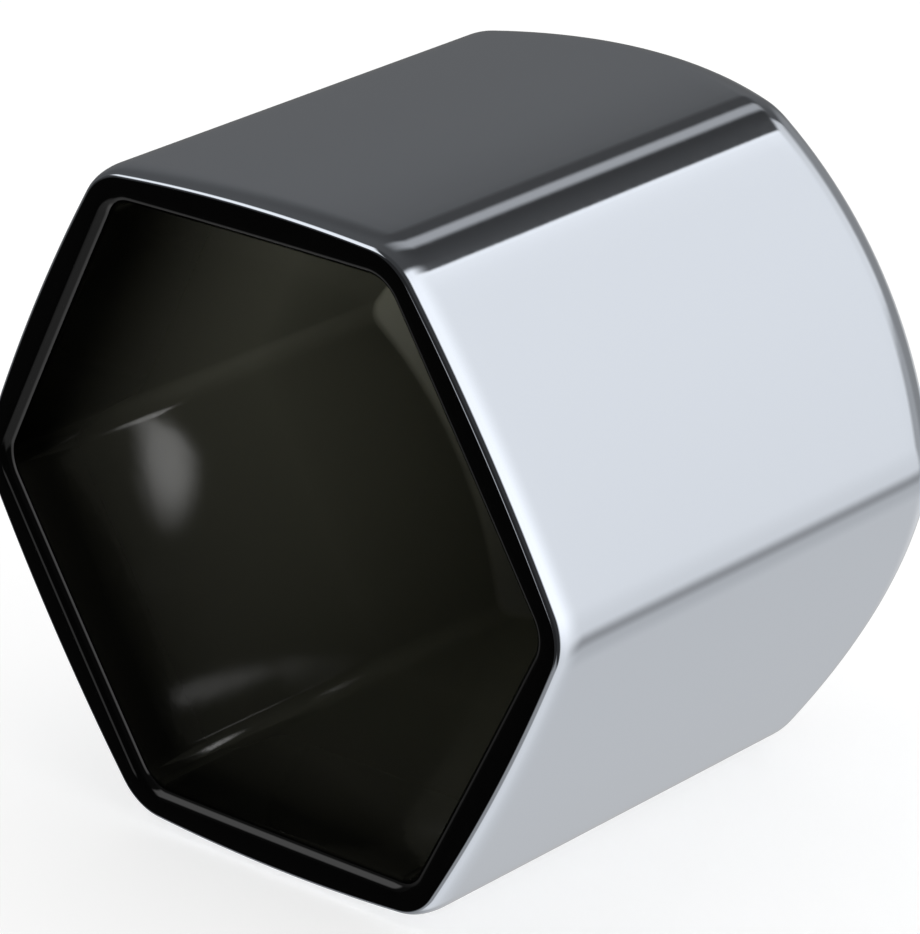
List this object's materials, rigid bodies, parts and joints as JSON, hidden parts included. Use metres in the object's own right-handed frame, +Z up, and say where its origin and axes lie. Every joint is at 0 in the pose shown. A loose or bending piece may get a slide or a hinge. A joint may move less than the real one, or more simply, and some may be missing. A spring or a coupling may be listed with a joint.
{
  "type": "wheel nut cover cap",
  "caption": "Hexagonal push-on cover cap for a wheel nut: chromed outside with a domed closed end, black hexagonal socket inside.",
  "frame": {"origin": "centre of the mouth, on the cap's axis, in the plane of the lip", "axes": "+Y along the axis from the mouth to the closed end, +Z up out of the top flat, with the cap lying on the opposite flat"},
  "size_m": [0.0244, 0.0222, 0.0222],
  "materials": {
    "chrome_plated_abs": "bright decorative plating over moulded ABS on the outside, bare gloss black ABS in the socket"
  },
  "bodies": {
    "root": {"nut_cap": "chrome_plated_abs"}
  },
  "joints": []
}
